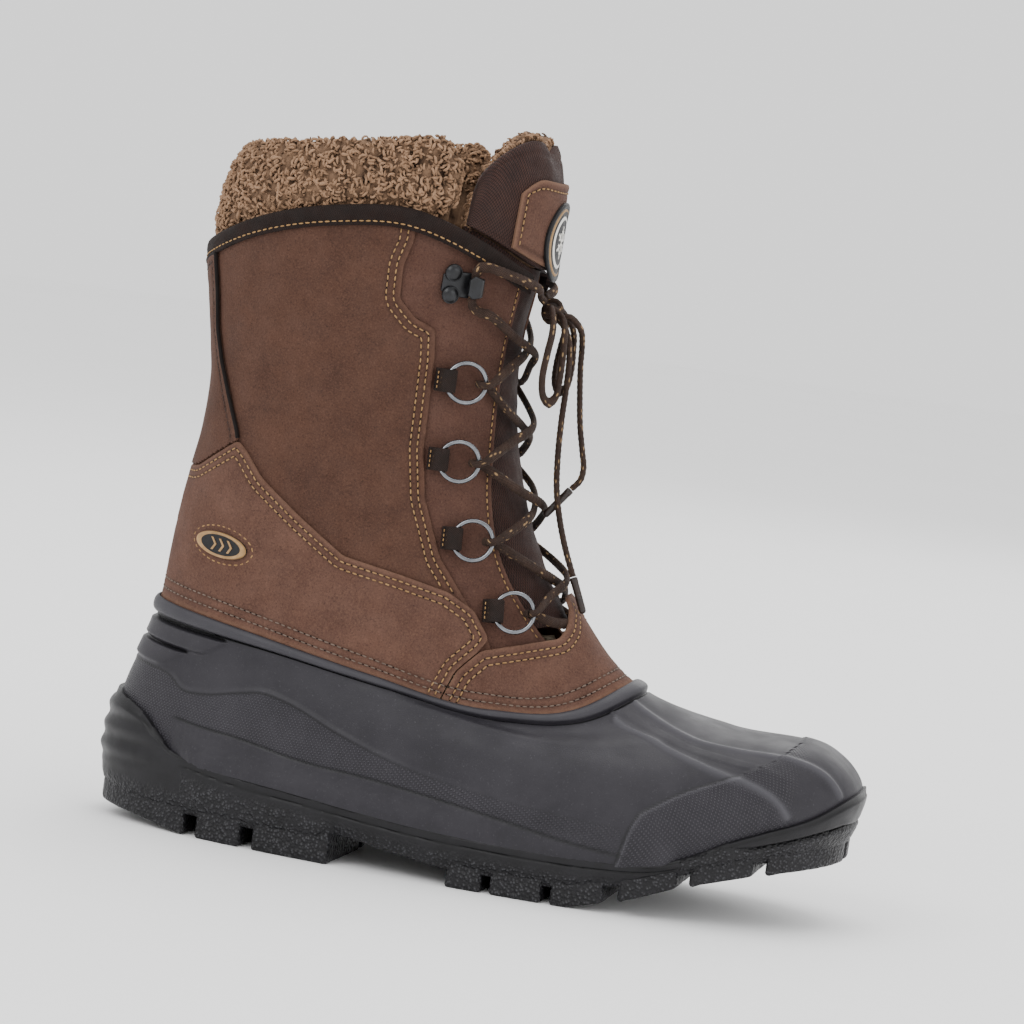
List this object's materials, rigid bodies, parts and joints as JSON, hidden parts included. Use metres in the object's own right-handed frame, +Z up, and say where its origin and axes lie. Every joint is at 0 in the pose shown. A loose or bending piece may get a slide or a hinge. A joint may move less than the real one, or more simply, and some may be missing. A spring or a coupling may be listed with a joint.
{
  "type": "insulated hunting boot",
  "caption": "Pull-on lace-up winter boot: rubber galosh and lugged outsole, nubuck shaft, curly fleece collar, padded tongue, rings on webbing, speed hooks and a tied braided lace.",
  "frame": {"origin": "on the ground under the middle of the boot's length and width", "axes": "+X towards the toe, +Y towards the medial side, +Z up"},
  "size_m": [0.3101, 0.1078, 0.2968],
  "materials": {
    "outsole_rubber": "moulded, matt with pebbled lugs",
    "galosh_rubber": "moulded, satin with knurled fields",
    "shank_steel": "pressed",
    "fibreboard": "pressed fibre, matt",
    "liner_felt": "felted wool, matt",
    "footbed_foam": "felt-topped foam",
    "fleece": "curly pile",
    "nubuck_vamp": "buffed nubuck",
    "nubuck_counter": "buffed nubuck",
    "nubuck_backstay": "buffed nubuck",
    "binding_tape": "folded grosgrain tape",
    "tongue_nylon": "woven nylon",
    "nubuck_patch": "suede",
    "badge": "woven badge",
    "label": "moulded label",
    "lace_yarn": "flat braid",
    "aglet_plastic": "shrunk film",
    "nubuck_quarter": "buffed nubuck",
    "nubuck_eyestay": "buffed nubuck",
    "hook_black": "black plated, satin",
    "rivet_black": "black plated, satin",
    "ring_steel": "nickelled wire, worn bright",
    "webbing": "woven webbing"
  },
  "bodies": {
    "boot": {"outsole": "outsole_rubber", "rubber_galosh": "galosh_rubber", "shank": "shank_steel", "insole_board": "fibreboard", "thermal_liner": "liner_felt", "footbed": "footbed_foam", "fleece_collar": "fleece", "vamp_panel": "nubuck_vamp", "counter_panel": "nubuck_counter", "backstay": "nubuck_backstay", "collar_binding": "binding_tape", "tongue_lower": "tongue_nylon", "heel_label": "label", "lace_crossed": "lace_yarn", "lace_knot": "lace_yarn", "bow_loop_lateral": "lace_yarn", "bow_loop_medial": "lace_yarn", "lace_tail_short": "lace_yarn", "lace_tail_long": "lace_yarn", "aglet_short": "aglet_plastic", "aglet_long": "aglet_plastic", "quarter_lateral": "nubuck_quarter", "eyestay_lateral": "nubuck_eyestay", "lace_hook_lateral": "hook_black", "hook_rivet_lateral_1": "rivet_black", "hook_rivet_lateral_2": "rivet_black", "webbing_loop_lateral_1": "webbing", "webbing_loop_lateral_2": "webbing", "webbing_loop_lateral_3": "webbing", "webbing_loop_lateral_4": "webbing", "quarter_medial": "nubuck_quarter", "eyestay_medial": "nubuck_eyestay", "lace_hook_medial": "hook_black", "hook_rivet_medial_1": "rivet_black", "hook_rivet_medial_2": "rivet_black", "webbing_loop_medial_1": "webbing", "webbing_loop_medial_2": "webbing", "webbing_loop_medial_3": "webbing", "webbing_loop_medial_4": "webbing"},
    "tongue_top": {"tongue_top": "tongue_nylon", "tongue_fleece": "fleece", "tongue_patch": "nubuck_patch", "tongue_badge": "badge"},
    "ring_lateral_1": {"lace_ring_lateral_1": "ring_steel"},
    "ring_lateral_2": {"lace_ring_lateral_2": "ring_steel"},
    "ring_lateral_3": {"lace_ring_lateral_3": "ring_steel"},
    "ring_lateral_4": {"lace_ring_lateral_4": "ring_steel"},
    "ring_medial_1": {"lace_ring_medial_1": "ring_steel"},
    "ring_medial_2": {"lace_ring_medial_2": "ring_steel"},
    "ring_medial_3": {"lace_ring_medial_3": "ring_steel"},
    "ring_medial_4": {"lace_ring_medial_4": "ring_steel"}
  },
  "joints": [
    {"name": "tongue_top_fold", "type": "hinge", "parent": "boot", "child": "tongue_top", "pos_m": [-0.0036, 0, 0.2424], "axis": [0, 1, 0], "range_deg": [0, 30], "stiffness_Nm_per_rad": 0.6},
    {"name": "ring_swing_lateral_1", "type": "hinge", "parent": "boot", "child": "ring_lateral_1", "pos_m": [-0.02695, -0.03791, 0.19501], "axis": [-0.004, 0.007, -1], "range_deg": [-10, 20], "deforming": ["lace_crossed"]},
    {"name": "ring_swing_lateral_2", "type": "hinge", "parent": "boot", "child": "ring_lateral_2", "pos_m": [-0.02583, -0.03708, 0.16396], "axis": [0.027, -0.056, -0.9981], "range_deg": [-10, 20], "deforming": ["lace_crossed"]},
    {"name": "ring_swing_lateral_3", "type": "hinge", "parent": "boot", "child": "ring_lateral_3", "pos_m": [-0.01643, -0.03571, 0.13391], "axis": [0.053, -0.121, -0.9912], "range_deg": [-10, 20], "deforming": ["lace_crossed"]},
    {"name": "ring_swing_lateral_4", "type": "hinge", "parent": "boot", "child": "ring_lateral_4", "pos_m": [0.00327, -0.03236, 0.10784], "axis": [0.105, -0.2019, -0.9738], "range_deg": [-10, 20], "deforming": ["lace_crossed"]},
    {"name": "ring_swing_medial_1", "type": "hinge", "parent": "boot", "child": "ring_medial_1", "pos_m": [-0.02695, 0.03793, 0.195], "axis": [0.003, 0.005, 1], "range_deg": [-10, 20], "deforming": ["lace_crossed"]},
    {"name": "ring_swing_medial_2", "type": "hinge", "parent": "boot", "child": "ring_medial_2", "pos_m": [-0.02583, 0.03708, 0.16396], "axis": [-0.024, -0.049, 0.9985], "range_deg": [-10, 20], "deforming": ["lace_crossed"]},
    {"name": "ring_swing_medial_3", "type": "hinge", "parent": "boot", "child": "ring_medial_3", "pos_m": [-0.01644, 0.0352, 0.13392], "axis": [-0.045, -0.105, 0.9934], "range_deg": [-10, 20], "deforming": ["lace_crossed"]},
    {"name": "ring_swing_medial_4", "type": "hinge", "parent": "boot", "child": "ring_medial_4", "pos_m": [0.00324, 0.03154, 0.10785], "axis": [-0.098, -0.1909, 0.9767], "range_deg": [-10, 20], "deforming": ["lace_crossed"]}
  ]
}
